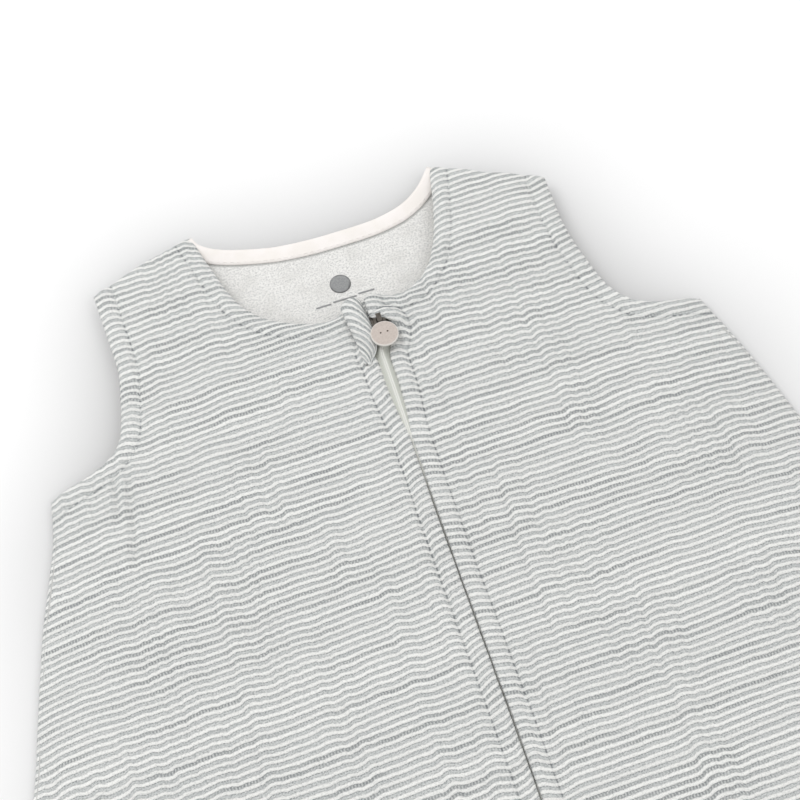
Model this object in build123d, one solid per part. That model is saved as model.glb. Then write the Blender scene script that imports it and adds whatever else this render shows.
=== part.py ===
from build123d import *
import os

# A sleeveless baby sleeping bag of thin double gauze, lying on its back with the zip up.
# Frame: +Y towards the neck, +Z out of the front, X across, origin under the middle of the bag.
# "left" is the -X side. Every size is in millimetres.

# ---- driving sizes of the cut -------------------------------------------------------------
LENGTH = 800.0  # neck point of the shoulder seam to hem
NECK_HALF = 57.0  # half the neck's width at the shoulder seams
FRONT_NECK_DROP = 60.0
BACK_NECK_DROP = 18.0
SHOULDER_HALF = 105.5
SHOULDER_DROP = 18.0
UNDERARM_HALF = 149.5
UNDERARM_DROP = 106.5
BODY_HALF = 215.0  # half width at the widest place
CORNER_R = 80.0  # rounded bottom corners

# ---- driving sizes of the layers ----------------------------------------------------------
SHELL_T = 1.4  # striped outer double gauze
LINING_T = 1.0  # plain inner double gauze
TAPE_T = 0.8  # cream binding tape
CROWN = 15.0  # height of the front over the floor along the middle
EDGE = 5.0  # height of the front over the floor at the widest side and at the hem
HEM_RISE = 85.0  # length over which the front rises from the hem to the crown
SEAM_W = 6.0  # sewn seam allowance inside the edge
BINDING_W = 9.0  # width of the neck and armhole tapes
CUT_GAP = 0.4  # clearance each side of a fold line

# ---- driving sizes of the zip -------------------------------------------------------------
ZIP_X = 10.8  # the zip stands this far right of the bag's middle
SLOT_HALF = 4.4  # the shell's folded edges stand this far from the zip's line, clear of the slider
ZIP_TAPE_HALF = 12.0
ZIP_TAPE_T = 0.6
ZIP_TAPE_LOW = CROWN - 2.2
TAPE_IN = 0.8  # the zip tapes' inner edges, measured from the zip's line
COIL_IN, COIL_OUT = 0.25, 2.4  # one half of the coil, measured the same way
COIL_T = 1.8
SLIDER_L = 10.0
SLIDER_HALF = 3.9
PLATE_T = 1.2
SLIDER_TRAVEL = 541.0
POST_HALF, POST_L = 0.9, 3.6
DISC_R, DISC_T = 6.2, 1.3
GARAGE_L = 33.0

TOP = LENGTH / 2
HEM = -LENGTH / 2
FRONT_NECK_Y = TOP - FRONT_NECK_DROP
SLIDER_Y = FRONT_NECK_Y - 13.5  # where the slider's post starts when the zip is closed
SLIDER_LOW_Y = SLIDER_Y - SLIDER_TRAVEL
ZIP_TOP_Y = FRONT_NECK_Y - 0.8
PARTING_Y = SLIDER_LOW_Y + 10.0  # the zip's halves part down to here
ZIP_END_Y = SLIDER_LOW_Y - 26.0
APEX_Y = SLIDER_LOW_Y - 104.0  # both fold lines meet the zip's line here
FOLD_REACH = NECK_HALF - ZIP_X  # distance of both fold lines from the zip's line at the neck points


def from_top(x, drop):
    """A point of the outline, given by its distance below the neck points."""
    return (x, TOP - drop)


# ---- outline ------------------------------------------------------------------------------
NECK_POINT = from_top(NECK_HALF, 0)
SHOULDER_TIP = from_top(SHOULDER_HALF, SHOULDER_DROP)
UNDERARM = from_top(UNDERARM_HALF, UNDERARM_DROP)
SIDE_END = (BODY_HALF, HEM + 170.0)


def neck_curve(drop):
    """Half of a neckline: down from the neck point, level at the middle."""
    shape = [(0.93, 0.27), (0.80, 0.70), (0.45, 0.965)]
    points = [from_top(NECK_HALF * u, drop * v) for u, v in shape]
    return Spline(NECK_POINT, *points, (0, TOP - drop), tangents=[(-0.25, -1), (-1, 0)])


def armhole_curve():
    """From the shoulder tip down and out to the underarm."""
    points = [from_top(106.0, 50.0), from_top(112.5, 84.0), from_top(130.0, 102.0)]
    return Spline(SHOULDER_TIP, *points, UNDERARM, tangents=[(0, -1), (1, -0.15)])


def side_curve():
    """From the underarm out to the widest place, then straight down."""
    points = [from_top(170.0, 175.0), from_top(198.0, 285.0), from_top(212.0, 420.0)]
    return Spline(UNDERARM, *points, SIDE_END, tangents=[(0.25, -1), (0, -1)])


def outline(neck_drop):
    """The whole flat outline as a face, with the front or the back neckline."""
    corner_top = (BODY_HALF, HEM + CORNER_R)
    corner_low = (BODY_HALF - CORNER_R, HEM)
    half = [
        neck_curve(neck_drop),
        Line(NECK_POINT, SHOULDER_TIP),
        armhole_curve(),
        side_curve(),
        Line(SIDE_END, corner_top),
        RadiusArc(corner_top, corner_low, CORNER_R),
        Line(corner_low, (0, HEM)),
    ]
    edges = [edge for piece in half for edge in piece.edges()]
    edges += [edge.mirror(Plane.YZ) for edge in edges]
    return make_face(Wire(edges))


def column(face, low=-5.0, high=40.0):
    """A flat region as a tall prism, to cut the layers with."""
    return extrude(Pos(0, 0, low) * face, amount=high - low)


def region(*points):
    """A polygon as a tall prism."""
    return column(make_face(Polyline(*points, close=True)))


# ---- crowned layers -----------------------------------------------------------------------
def under_crown(depth):
    """Everything below the front's outer surface less depth: an arc across that falls to the hem."""
    top, side, low = CROWN - depth, EDGE - depth, -20.0
    wide, overhang = BODY_HALF + 20, 2.0
    across = make_face(Wire([
        ThreePointArc((-BODY_HALF, side), (0, top), (BODY_HALF, side)).edge(),
        Line((BODY_HALF, side), (wide, side - overhang)).edge(),
        Line((wide, side - overhang), (wide, low)).edge(),
        Line((wide, low), (-wide, low)).edge(),
        Line((-wide, low), (-wide, side - overhang)).edge(),
        Line((-wide, side - overhang), (-BODY_HALF, side)).edge(),
    ]))
    start, level, end = HEM - 20, HEM + HEM_RISE, TOP + 20
    along = make_face(Wire([
        Line((start, side - overhang), (HEM, side)).edge(),
        TangentArc((level, top), (HEM, side), tangent=(-1, 0)).edge(),
        Line((level, top), (end, top)).edge(),
        Line((end, top), (end, low)).edge(),
        Line((end, low), (start, low)).edge(),
        Line((start, low), (start, side - overhang)).edge(),
    ]))
    bar = extrude(Plane.XZ * across, amount=end + 10, both=True)
    beam = extrude(Plane.YZ * along, amount=wide + 10, both=True)
    return bar & beam


UNDER_SHELL_TOP = under_crown(0)
UNDER_SHELL = under_crown(SHELL_T)
UNDER_LINING = under_crown(SHELL_T + LINING_T)
UNDER_TAPE = under_crown(SHELL_T + LINING_T + TAPE_T)
SHELL_LAYER = UNDER_SHELL_TOP - UNDER_SHELL
LINING_LAYER = UNDER_SHELL - UNDER_LINING
TAPE_LAYER = UNDER_LINING - UNDER_TAPE
BACK_TOP = SHELL_T + LINING_T  # upper face of the back's lining
FRONT = column(outline(FRONT_NECK_DROP))
BACK_FACE = outline(BACK_NECK_DROP)

# ---- the fold lines that the fronts open along --------------------------------------------
def fold_reach(y):
    """Distance of both fold lines from the zip's line at height y."""
    return FOLD_REACH * (y - APEX_Y) / (TOP - APEX_Y)


def height_where(reach):
    """The height at which the fold lines are reach away from the zip's line."""
    return APEX_Y + reach * (TOP - APEX_Y) / FOLD_REACH


def beside_zip(side, points):
    """A tall prism from points given by their distance from the zip's line, on one side."""
    return region(*[(ZIP_X + side * reach, y) for reach, y in points])


SEAM_TOP_Y = height_where(SLOT_HALF) - 4.0  # the fronts are sewn together from here down


def flap_region(side, inner=SLOT_HALF, low=APEX_Y, inset=CUT_GAP):
    """Between the zip and the fold line, on one side (-1 left, 1 right)."""
    high = TOP + 10
    low = max(low, height_where(inner + inset))
    points = [(inner, high), (inner, low)]
    if fold_reach(low) - inset > inner + 0.05:
        points.append((fold_reach(low) - inset, low))
    points.append((fold_reach(high) - inset, high))
    return beside_zip(side, points)


def panel_region(side, inner=SLOT_HALF):
    """Outside the fold line, down to the hem, on one side. Below the slot it reaches the middle seam."""
    far, high, low, seam = 2 * BODY_HALF, TOP + 10, HEM - 10, 0.1
    corner = (inner, height_where(inner - CUT_GAP))
    slot_end = [(seam, low), (seam, SEAM_TOP_Y), (inner, SEAM_TOP_Y)]
    return beside_zip(side, slot_end + [corner, (fold_reach(high) + CUT_GAP, high), (far, high), (far, low)])


def both_sides(make, name):
    """The same part on both sides: {left_name: ..., right_name: ...}."""
    return {f"left_{name}": make(-1), f"right_{name}": make(1)}


# ---- back ---------------------------------------------------------------------------------
def back_layer(low, thick):
    return extrude(Pos(0, 0, low) * BACK_FACE, amount=thick)


def back_neck_tape():
    """Cream tape sewn over the lining along the back neckline, between the shoulder seams."""
    stroke = Wire([neck_curve(BACK_NECK_DROP).edge(), neck_curve(BACK_NECK_DROP).edge().mirror(Plane.YZ)])
    band = stroke_band(stroke, BINDING_W)
    strip = extrude(Pos(0, 0, BACK_TOP) * band, amount=TAPE_T)
    strip &= column(BACK_FACE)
    return strip & Pos(0, TOP - 20, 0) * Box(2 * (NECK_HALF - 7), 60, 60)


def stroke_band(wire, width):
    """A flat band that reaches width to each side of a line."""
    return trace(wire, line_width=2 * width)


# ---- edges and seams ----------------------------------------------------------------------
CORNER_Y = HEM + CORNER_R


def side_seam(side):
    """The allowance down one side, from the underarm to the rounded corner."""
    edges = [side_curve().edge(), Line(SIDE_END, (BODY_HALF, CORNER_Y)).edge()]
    if side < 0:
        edges = [edge.mirror(Plane.YZ) for edge in edges]
    band = stroke_band(Wire(edges), SEAM_W)
    length = UNDERARM[1] - CORNER_Y - 4
    clear_of_armhole = Pos(side * 170, CORNER_Y + 2 + length / 2, 0) * Box(140, length, 60)
    return column(band, BACK_TOP, CROWN) & FRONT & UNDER_LINING & clear_of_armhole


def hem_seam():
    """The allowance along the hem and round both corners."""
    ring = column(BACK_FACE, BACK_TOP, CROWN) - column(offset(BACK_FACE, amount=-SEAM_W), 0, 40)
    return ring & UNDER_LINING & Pos(0, CORNER_Y - 41, 0) * Box(2 * BODY_HALF + 20, 80, 60)


def shoulder_seam(side):
    inset = 3.0
    x0, x1 = NECK_HALF + inset, SHOULDER_HALF - inset
    slope = SHOULDER_DROP / (SHOULDER_HALF - NECK_HALF)
    y0, y1 = TOP - slope * (x0 - NECK_HALF), TOP - slope * (x1 - NECK_HALF)
    strip = region(*[(side * x, y) for x, y in
                     [(x0, y0 - 0.3), (x1, y1 - 0.3), (x1, y1 - SEAM_W), (x0, y0 - SEAM_W)]])
    return strip & UNDER_LINING & Pos(0, 0, BACK_TOP + 20) * Box(600, 900, 40)


def armhole_tape(side):
    """Two strips of tape round one armhole: one under the front's lining, one on the back's."""
    line = armhole_curve().edge()
    if side < 0:
        line = line.mirror(Plane.YZ)
    band = column(stroke_band(Wire([line]), BINDING_W)) & FRONT
    keep = Pos(side * 130, TOP - 62, 0) * Box(120, 72, 80)
    front = TAPE_LAYER & band & keep
    back = band & keep & Pos(0, 0, BACK_TOP + TAPE_T / 2) * Box(600, 900, TAPE_T)
    return Compound([*front.solids(), *back.solids()])


def front_neck_tape(side):
    """Tape under the lining along the front neckline, on the part that folds open."""
    line = neck_curve(FRONT_NECK_DROP).edge()
    if side < 0:
        line = line.mirror(Plane.YZ)
    band = column(stroke_band(Wire([line]), BINDING_W)) & FRONT
    clear_of_guard = 18.0
    return TAPE_LAYER & band & flap_region(side, inner=clear_of_guard, inset=2.0)


# ---- zip ----------------------------------------------------------------------------------
def block(x0, x1, y0, y1, z0, z1):
    """A box between two corners, with x measured from the zip's line."""
    middle = Pos(ZIP_X + (x0 + x1) / 2, (y0 + y1) / 2, (z0 + z1) / 2)
    return middle * Box(abs(x1 - x0), abs(y1 - y0), abs(z1 - z0))


TAPE_TOP = ZIP_TAPE_LOW + ZIP_TAPE_T
POST_CLEAR = POST_HALF + 0.4  # the tapes part round the slider's post


def zip_strip(side):
    """One whole zip tape, notched for the post at both ends of the slider's travel."""
    tape = block(side * TAPE_IN, side * ZIP_TAPE_HALF, ZIP_END_Y, ZIP_TOP_Y, ZIP_TAPE_LOW, TAPE_TOP)
    top_notch = block(0, side * POST_CLEAR, SLIDER_Y - 0.3, TOP, 0, CROWN)
    low_notch = block(0, side * POST_CLEAR, SLIDER_LOW_Y - 0.3, PARTING_Y, 0, CROWN)
    return tape - top_notch - low_notch


def zip_tape(side):
    return zip_strip(side) & flap_region(side, inner=TAPE_IN, low=PARTING_Y)


def lower_zip_tape(side):
    """What the flap's tape leaves: below the parting, and outside the fold line above it."""
    below = block(0, side * 2 * ZIP_TAPE_HALF, HEM, PARTING_Y - CUT_GAP, 0, CROWN)
    return zip_strip(side) & (panel_region(side, inner=TAPE_IN + CUT_GAP) + below)


def coil_bar(side, y0, y1):
    bar = block(side * COIL_IN, side * COIL_OUT, y0, y1, TAPE_TOP, TAPE_TOP + COIL_T)
    return fillet(bar.edges().filter_by(Axis.Y).group_by(Axis.Z)[-1], 0.7)


def zip_coil(side):
    """Half of the coil, from the parting up to the slider's post."""
    return coil_bar(side, PARTING_Y, SLIDER_Y - 0.4)


def lower_zip_coils():
    return [coil_bar(side, ZIP_END_Y + 8, SLIDER_LOW_Y - 0.4) for side in (-1, 1)]


def top_stop(side):
    """A clip pressed round the tape's edge, above the slider."""
    y0, long = SLIDER_Y + POST_L + 2.0, 2.4
    clip = block(side * 0.8, side * 3.0, y0, y0 + long, ZIP_TAPE_LOW - 0.5, TAPE_TOP + 1.2)
    return clip - block(side * POST_CLEAR, side * 4, y0 - 1, y0 + 4, ZIP_TAPE_LOW, TAPE_TOP)


def bottom_stop():
    """A staple across both tapes below the coil."""
    y0 = ZIP_END_Y + 3.5
    bridge = block(-3.4, 3.4, y0, y0 + 2.8, TAPE_TOP, TAPE_TOP + 1.3)
    return fillet(bridge.edges().filter_by(Axis.Z), 0.6)


SLIDER_TOP_Z = TAPE_TOP + COIL_T + 0.3  # underside of the upper plate
SLIDER_LOW_Z = ZIP_TAPE_LOW - 0.3  # upper side of the lower plate
NOSE_Y = SLIDER_Y + POST_L + 1.4


def slider_plate(z0):
    """A plate, wide at the post's end and narrower where the closed chain leaves it."""
    shoulder, tail, waist = NOSE_Y - 4.5, NOSE_Y - SLIDER_L, SLIDER_HALF - 0.9
    half = [(SLIDER_HALF, NOSE_Y), (SLIDER_HALF, shoulder), (waist, tail)]
    points = half + [(-x, y) for x, y in reversed(half)]
    plate = extrude(Pos(ZIP_X, 0, z0) * make_face(Polyline(*points, close=True)), amount=PLATE_T)
    return fillet(plate.edges().filter_by(Axis.Z), 0.8)


def slider_body():
    """Two plates, the post between them and the rims that hold the coil in."""
    body = slider_plate(SLIDER_LOW_Z - PLATE_T) + slider_plate(SLIDER_TOP_Z)
    body += block(-POST_HALF, POST_HALF, SLIDER_Y, SLIDER_Y + POST_L, SLIDER_LOW_Z - 0.3, SLIDER_TOP_Z + 0.3)
    for side in (-1, 1):
        body += block(side * (COIL_OUT + 0.5), side * 3.5, SLIDER_Y - 3.6, SLIDER_Y + 3.4,
                      TAPE_TOP + 0.3, SLIDER_TOP_Z + 0.3)
    return body


BRIDGE_Z = SLIDER_TOP_Z + PLATE_T
BRIDGE_HALF = 2.4
PIVOT_Y = SLIDER_Y + 1.5
PIVOT_Z = BRIDGE_Z + 1.0
WIRE_R = 0.55  # radius of the pull's cross bar


def slider_bridge():
    """The arch over the slider that the pull's cross bar turns in."""
    arch = block(-1.1, 1.1, PIVOT_Y - BRIDGE_HALF, PIVOT_Y + BRIDGE_HALF, BRIDGE_Z, BRIDGE_Z + 2.7)
    arch = fillet(arch.edges().filter_by(Axis.X).group_by(Axis.Z)[-1], 1.0)
    return arch - block(-2, 2, PIVOT_Y - 1.4, PIVOT_Y + 1.4, BRIDGE_Z - 1, BRIDGE_Z + 1.8)


DISC_Y = PIVOT_Y - BRIDGE_HALF - 0.3 - DISC_R


def pull_link():
    """A wire stirrup: a cross bar under the bridge and two arms that run under the disc."""
    cross = Pos(ZIP_X, PIVOT_Y, PIVOT_Z) * Rot(0, 90, 0) * Cylinder(WIRE_R, 5.2)
    for side in (-1, 1):
        cross += block(side * 1.5, side * 2.6, DISC_Y + 3, PIVOT_Y + WIRE_R, PIVOT_Z - WIRE_R, PIVOT_Z + WIRE_R)
    return cross


def pull_disc():
    """A round disc with two small holes, fixed on top of the arms."""
    disc = Pos(ZIP_X, DISC_Y, PIVOT_Z + WIRE_R + DISC_T / 2) * Cylinder(DISC_R, DISC_T)
    disc = chamfer(disc.edges(), 0.25)
    for side in (-1, 1):
        disc -= Pos(ZIP_X + side * 1.6, DISC_Y + 0.6, PIVOT_Z) * Cylinder(0.45, 20)
    return disc


GUARD_SEAM, GUARD_EDGE = -16.5, -6.8  # the guard's two long edges, measured from the zip's line
GUARD_LOW_Z = CROWN - 4.95
GUARD_LOW_Y = height_where(24.0)


def zip_guard():
    """The soft strip behind the zip that keeps it off the skin, sewn to the left front only."""
    top_z = GUARD_LOW_Z + 1.0
    strip = block(GUARD_SEAM, GUARD_EDGE, GUARD_LOW_Y, ZIP_TOP_Y - 2, GUARD_LOW_Z, top_z)
    lining_z = CROWN - SHELL_T - LINING_T
    seam = block(GUARD_SEAM, GUARD_SEAM + 3.0, GUARD_LOW_Y, ZIP_TOP_Y - 2, top_z - 0.5, lining_z - 0.1)
    return strip + seam


GARAGE_FOOT = -12.6  # the garage is sewn down along this line, beside the zip
GARAGE_TIP = -6.8  # its free edge hangs over here
GARAGE_RISE, GARAGE_T = 6.0, 1.5


def zip_garage():
    """The folded tab that arches up beside the zip's top end, from the left."""
    foot_z, tip_z = CROWN + 0.35, CROWN + 0.35 + GARAGE_RISE
    crest = (GARAGE_FOOT + 1.6, foot_z + 4.6)
    hollow = (GARAGE_FOOT + 2.7, foot_z + 3.4)
    outer = ThreePointArc((GARAGE_FOOT, foot_z), crest, (GARAGE_TIP, tip_z))
    inner = ThreePointArc((GARAGE_TIP, tip_z - GARAGE_T), hollow, (GARAGE_FOOT + GARAGE_T, foot_z))
    section = make_face(Wire([
        outer.edge(),
        Line(outer @ 1, inner @ 0).edge(),
        inner.edge(),
        Line(inner @ 1, outer @ 0).edge(),
    ]))
    tab = extrude(Plane.XZ * section, amount=-GARAGE_L)
    return Pos(ZIP_X, FRONT_NECK_Y + 1.0 - GARAGE_L, 0) * tab


# ---- nodes --------------------------------------------------------------------------------
LINING_INNER = ZIP_TAPE_HALF + 0.4

nodes = {
    "back_shell": back_layer(0, SHELL_T),
    "back_lining": back_layer(SHELL_T, LINING_T),
    "back_neck_tape": back_neck_tape(),
    "hem_seam": hem_seam(),
    "lower_zip_tapes": lower_zip_tape(-1) + lower_zip_tape(1),
    "lower_zip_coils": Compound(lower_zip_coils()),
    "zip_bottom_stop": bottom_stop(),
    "zip_guard": zip_guard(),
    "zip_slider_body": slider_body(),
    "zip_slider_bridge": slider_bridge(),
    "zip_pull_link": pull_link(),
    "zip_pull_disc": pull_disc(),
    "zip_garage": zip_garage(),
}
nodes |= both_sides(lambda s: SHELL_LAYER & FRONT & panel_region(s), "front_shell")
nodes |= both_sides(lambda s: LINING_LAYER & FRONT & panel_region(s, inner=LINING_INNER), "front_lining")
nodes |= both_sides(lambda s: SHELL_LAYER & FRONT & flap_region(s), "flap_shell")
nodes |= both_sides(lambda s: LINING_LAYER & FRONT & flap_region(s, inner=LINING_INNER), "flap_lining")
nodes |= both_sides(side_seam, "side_seam")
nodes |= both_sides(shoulder_seam, "shoulder_seam")
nodes |= both_sides(armhole_tape, "armhole_tape")
nodes |= both_sides(front_neck_tape, "front_neck_tape")
nodes |= both_sides(zip_tape, "zip_tape")
nodes |= both_sides(zip_coil, "zip_coil")
nodes |= both_sides(top_stop, "zip_top_stop")

os.makedirs("parts", exist_ok=True)
for name, shape in nodes.items():
    export_step(Compound(shape.solids()), f"parts/{name}.step")
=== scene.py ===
import math
import bmesh
import bpy
import numpy as np
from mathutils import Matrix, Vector
from mathutils.geometry import delaunay_2d_cdt


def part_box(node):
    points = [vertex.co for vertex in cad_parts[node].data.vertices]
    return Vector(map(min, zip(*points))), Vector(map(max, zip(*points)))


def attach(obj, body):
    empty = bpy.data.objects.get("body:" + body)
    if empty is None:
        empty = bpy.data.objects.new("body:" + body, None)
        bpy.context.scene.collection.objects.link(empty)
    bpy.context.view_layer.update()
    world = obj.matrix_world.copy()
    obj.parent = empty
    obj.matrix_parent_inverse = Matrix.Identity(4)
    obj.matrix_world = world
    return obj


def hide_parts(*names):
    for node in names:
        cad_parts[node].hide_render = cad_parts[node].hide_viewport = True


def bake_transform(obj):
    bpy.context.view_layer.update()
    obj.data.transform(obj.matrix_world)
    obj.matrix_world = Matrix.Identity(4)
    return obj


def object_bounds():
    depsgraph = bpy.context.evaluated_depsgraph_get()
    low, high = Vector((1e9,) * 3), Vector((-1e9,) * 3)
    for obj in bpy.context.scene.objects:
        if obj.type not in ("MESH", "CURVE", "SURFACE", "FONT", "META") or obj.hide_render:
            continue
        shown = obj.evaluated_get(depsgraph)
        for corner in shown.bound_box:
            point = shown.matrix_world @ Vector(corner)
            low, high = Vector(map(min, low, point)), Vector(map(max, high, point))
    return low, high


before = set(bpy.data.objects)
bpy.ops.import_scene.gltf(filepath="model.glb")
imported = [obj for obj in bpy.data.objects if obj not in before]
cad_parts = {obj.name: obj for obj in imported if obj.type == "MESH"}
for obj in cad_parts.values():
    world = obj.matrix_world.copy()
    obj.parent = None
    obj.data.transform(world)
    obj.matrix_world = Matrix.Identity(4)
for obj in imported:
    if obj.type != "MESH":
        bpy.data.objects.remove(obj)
CAD_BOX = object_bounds()

# Lengths in this script are in millimetres until a mesh is made. +Y is towards the neck, +Z is
# out of the front, and "left" is the -X side, as in the frame.
MM = 0.001


# ---- sizes taken from the frame ----
def node_box(name):
    low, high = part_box(name)
    return np.array(low) / MM, np.array(high) / MM


BAG_LOW, BAG_HIGH = (np.array(corner) / MM for corner in CAD_BOX)
HALF = BAG_HIGH[0]
TOP, HEM = BAG_HIGH[1], BAG_LOW[1]
SLIDER_LOW, SLIDER_HIGH = node_box("zip_slider_body")
ZIP_X = (SLIDER_LOW[0] + SLIDER_HIGH[0]) / 2
TAPE_LOW, TAPE_HIGH = node_box("right_zip_tape")
DISC_LOW, DISC_HIGH = node_box("zip_pull_disc")

# ---- sizes of the cloth ----
STRIPE = 3.2  # one white band and one grey band
STRIPE_TILT = 0.046  # the stripes climb this much per millimetre across
FRONT_T = 1.3  # thickness of the striped double gauze
INNER_T = 0.9
BAND = 8.0  # width of the turned and stitched bands at the neck and the zip
ARM_BAND = 9.0
ZIP_FACE_TOP = 300.0  # the zip's face shows between the cloth edges above this, and narrows below
ZIP_FACE_LOW = 267.0
SEWN_SHUT = -254.0  # below this the two fronts are sewn together
FINE_LOW = 52.0  # the mesh is fine above this, where the picture is taken
FINE, COARSE = 1.6, 4.5
FOLD_FINE = 1.7  # mesh size in the strips that bend when the flaps open
RINGS = (0.45, 1.1, 2.1, 3.4, 4.8, 6.2, 7.4, 8.4, 9.4, 10.8)  # mesh lines at these distances from an edge
ZIP_LEANS = ((-150, 220, -1.5), (90, 150, -1.8), (313, 10, 3.3))  # (from y, over this length, this far)
GAP_SEWN, GAP_FACE, GAP_SLIDER = 0.28, 2.3, 1.9  # parts of half the gap between the cloth edges
LAP_LEFT, LAP_RIGHT = 3.2, 8.2  # how far the two edges come back over the slider's end
CREASE_PITCH, CREASE_JOG = 6.2, 0.66  # the gauze's fine lengthwise creases


# ---- smooth seeded noise ----
def hashed(i, j, seed):
    h = (i * 374761393 + j * 668265263 + seed * 974634777) & 0xFFFFFFFF
    h = ((h ^ (h >> 13)) * 1274126177) & 0xFFFFFFFF
    return ((h ^ (h >> 16)) & 0xFFFF) / 32767.5 - 1.0


def noise(x, y, cell, seed, stretch=1.0):
    """Value noise from -1 to 1 with cells of that size, stretched along y."""
    x, y = np.broadcast_arrays(np.asarray(x, float), np.asarray(y, float))
    u, v = x / cell, y / (cell * stretch)
    i, j = np.floor(u).astype(np.int64), np.floor(v).astype(np.int64)
    fu, fv = u - i, v - j
    fu = fu * fu * fu * (fu * (fu * 6 - 15) + 10)
    fv = fv * fv * fv * (fv * (fv * 6 - 15) + 10)
    low = hashed(i, j, seed) * (1 - fu) + hashed(i + 1, j, seed) * fu
    high = hashed(i, j + 1, seed) * (1 - fu) + hashed(i + 1, j + 1, seed) * fu
    return low * (1 - fv) + high * fv


def smooth(t):
    t = np.clip(t, 0, 1)
    return t * t * (3 - 2 * t)


# ---- lines ----
def unit(vectors):
    return vectors / np.linalg.norm(vectors, axis=-1)[..., None]


def curve(points, step=1.0):
    """A smooth line through the points, as close samples."""
    p = np.array(points, float)
    p = np.vstack([2 * p[0] - p[1], p, 2 * p[-1] - p[-2]])
    out = []
    for a, b, c, d in zip(p, p[1:], p[2:], p[3:]):
        count = max(2, int(np.linalg.norm(c - b) / step))
        t = np.linspace(0, 1, count, endpoint=False)[:, None]
        out.append(0.5 * (2 * b + (c - a) * t + (2 * a - 5 * b + 4 * c - d) * t ** 2
                          + (3 * b - a - 3 * c + d) * t ** 3))
    return np.vstack(out + [p[-2][None]])


def lengths(line):
    return np.concatenate([[0], np.cumsum(np.linalg.norm(np.diff(line, axis=0), axis=1))])


def resample(line, step):
    """Samples of a line; step is a size or a function of a point."""
    along = lengths(line)
    places, at = [], 0.0
    while at < along[-1] - 0.3 * FINE:
        places.append(at)
        here = np.array([np.interp(at, along, line[:, k]) for k in range(line.shape[1])])
        at += step(here) if callable(step) else step
    places.append(along[-1])
    return np.stack([np.interp(places, along, line[:, k]) for k in range(line.shape[1])], axis=1)


def distance(points, line):
    """Distance of each point to a line, and how far along the line the nearest place is."""
    a, b = line[:-1], line[1:]
    ab = b - a
    square = np.maximum((ab ** 2).sum(1), 1e-9)
    along = lengths(line)
    best = np.full(len(points), 1e9)
    place = np.zeros(len(points))
    for k in range(0, len(points), 4000):
        p = points[k:k + 4000]
        t = np.clip(((p[:, None] - a) * ab).sum(2) / square, 0, 1)
        d = np.linalg.norm(p[:, None] - (a + t[..., None] * ab), axis=2)
        n = d.argmin(1)
        rows = np.arange(len(p))
        best[k:k + 4000] = d[rows, n]
        place[k:k + 4000] = along[n] + t[rows, n] * np.sqrt(square[n])
    return best, place


# ---- outline of the fronts ----
def zip_x(y):
    """The sewn zip leans a little to the left on its way up, and comes back under the pull."""
    x = ZIP_X
    for start, over, far in ZIP_LEANS:
        x = x + far * smooth((np.asarray(y, float) - start) / over)
    return x


def zip_gap(y, side=0):
    """Half the gap between the two cloth edges over the zip. Above the slider they meet again."""
    near_slider = smooth((y - (SLIDER_LOW[1] - 14.0)) / 12.0)
    face = smooth((y - ZIP_FACE_LOW) / (ZIP_FACE_TOP - ZIP_FACE_LOW))
    shut = smooth((y - SLIDER_HIGH[1] + 5.6) / 4.0)
    lap = LAP_RIGHT if side > 0 else LAP_LEFT
    return GAP_SEWN + GAP_FACE * face + GAP_SLIDER * near_slider - lap * shut


NECK = {
    -1: [(-58.8, 403.2), (-54.0, 384.6), (-49.2, 367.4), (-44.4, 357.2), (-37.0, 348.6),
         (-27.3, 342.6), (-16.3, 338.2), (-8.0, 337.2), (-1.5, 339.6), (4.0, 341.6), (9.6, 340.4)],
    1: [(57.3, 404.6), (53.2, 385.6), (48.7, 369.0), (42.5, 354.8), (35.3, 346.2),
        (27.0, 341.2), (20.0, 340.4), (13.0, 340.8), (6.6, 339.4)],
}
ARMHOLE = {
    -1: [(-108.4, 387.0), (-107.4, 364.5), (-106.7, 344.7), (-108.6, 332.8), (-111.5, 318.8),
         (-115.0, 309.6), (-121.2, 303.6), (-130.0, 299.4), (-141.4, 296.6), (-149.8, 294.0)],
    1: [(106.6, 382.0), (106.3, 371.2), (106.2, 358.2), (107.2, 347.5), (109.4, 336.4),
        (112.2, 324.5), (116.0, 315.2), (122.4, 307.8), (129.4, 304.2), (137.5, 302.2),
        (145.5, 301.4), (152.6, 300.2)],
}
SIDE = {
    -1: [(-149.8, 294.0), (-153.1, 275.0), (-159.0, 257.0), (-167.1, 233.0), (-181.2, 181.0),
         (-198.0, 115.0), (-212.0, -20.0), (-HALF, -160.0), (-HALF, HEM + 80.0)],
    1: [(152.6, 300.2), (157.0, 287.0), (162.9, 267.9), (168.6, 246.2), (184.5, 181.0),
        (199.5, 115.0), (212.5, -20.0), (HALF, -160.0), (HALF, HEM + 80.0)],
}
CORNER_R = 80.0


def corner(side):
    angles = np.linspace(0, math.pi / 2, 60)
    x = side * (HALF - CORNER_R * (1 - np.cos(angles)))
    return np.stack([x, HEM + CORNER_R * (1 - np.sin(angles))], axis=1)


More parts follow.
